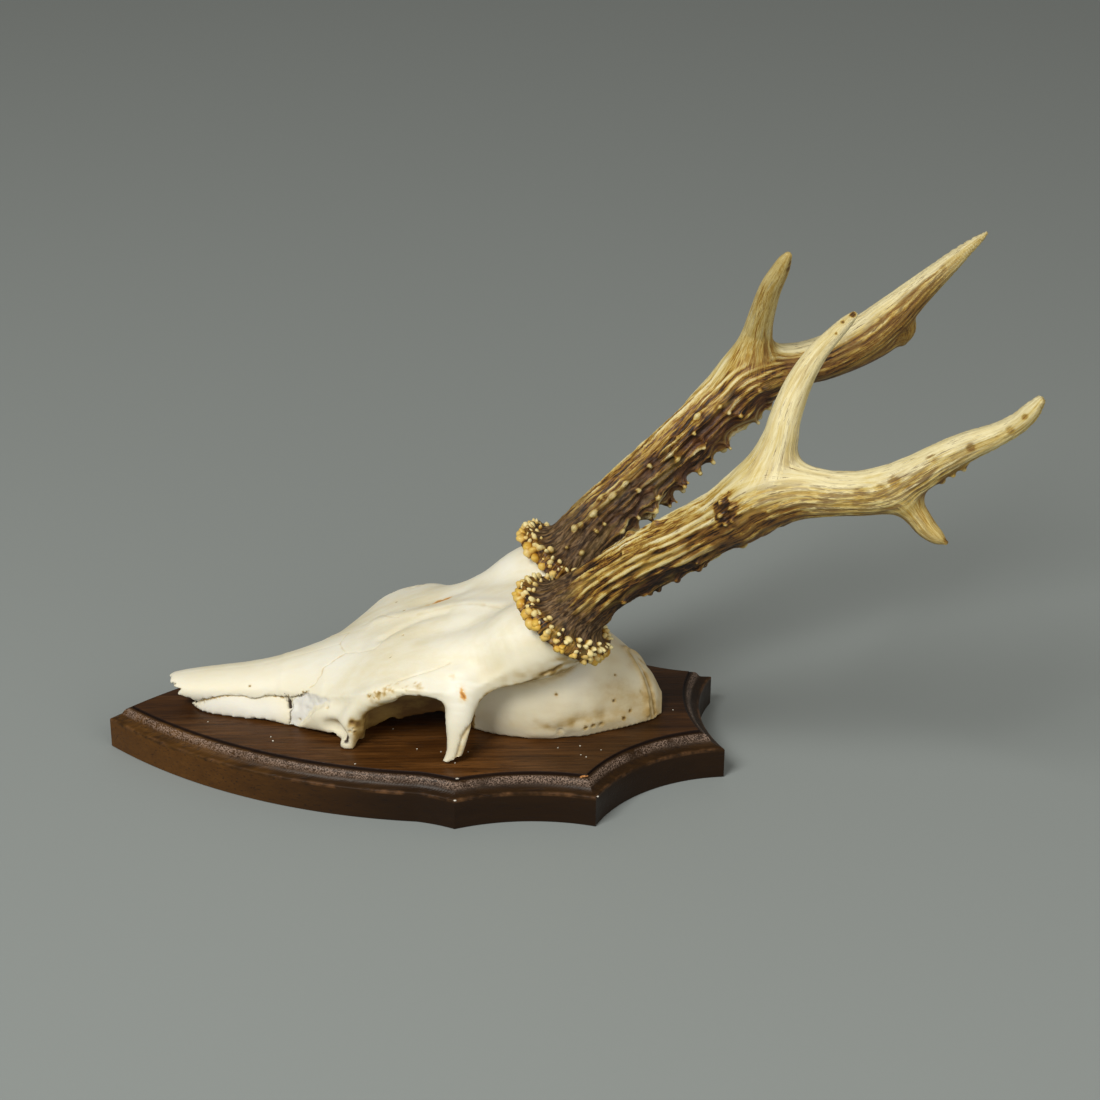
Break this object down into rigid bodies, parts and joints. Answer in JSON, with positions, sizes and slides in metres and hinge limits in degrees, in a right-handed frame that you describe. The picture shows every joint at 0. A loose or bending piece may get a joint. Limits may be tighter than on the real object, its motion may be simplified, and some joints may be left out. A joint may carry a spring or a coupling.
{
  "type": "deer skull and antler trophy",
  "caption": "Roe deer skull with its pair of pearled antlers, fixed on a pointed wooden shield with a moulded edge.",
  "frame": {"origin": "middle of the shield's flat back face", "axes": "+X along the shield from its pointed nose end to its scalloped end, +Y across it towards the deer's right, +Z out of its front face; the object lies on its back face"},
  "size_m": [0.3603, 0.1748, 0.2041],
  "materials": {
    "stained_wood": "dark brown stain under a thin satin varnish, worn on the moulding",
    "bone": "bleached bone, warm ivory, dull, with a few amber stains",
    "antler": "brown antler with pale ridges, pearls and tines",
    "steel": "plain zinc-plated countersunk screws"
  },
  "bodies": {
    "root": {"shield_plaque": "stained_wood", "skull": "bone", "left_antler_beam": "antler", "left_front_tine": "antler", "left_rear_tine": "antler", "right_antler_beam": "antler", "right_front_tine": "antler", "skull_screw_front": "steel", "skull_screw_rear": "steel"}
  },
  "joints": []
}
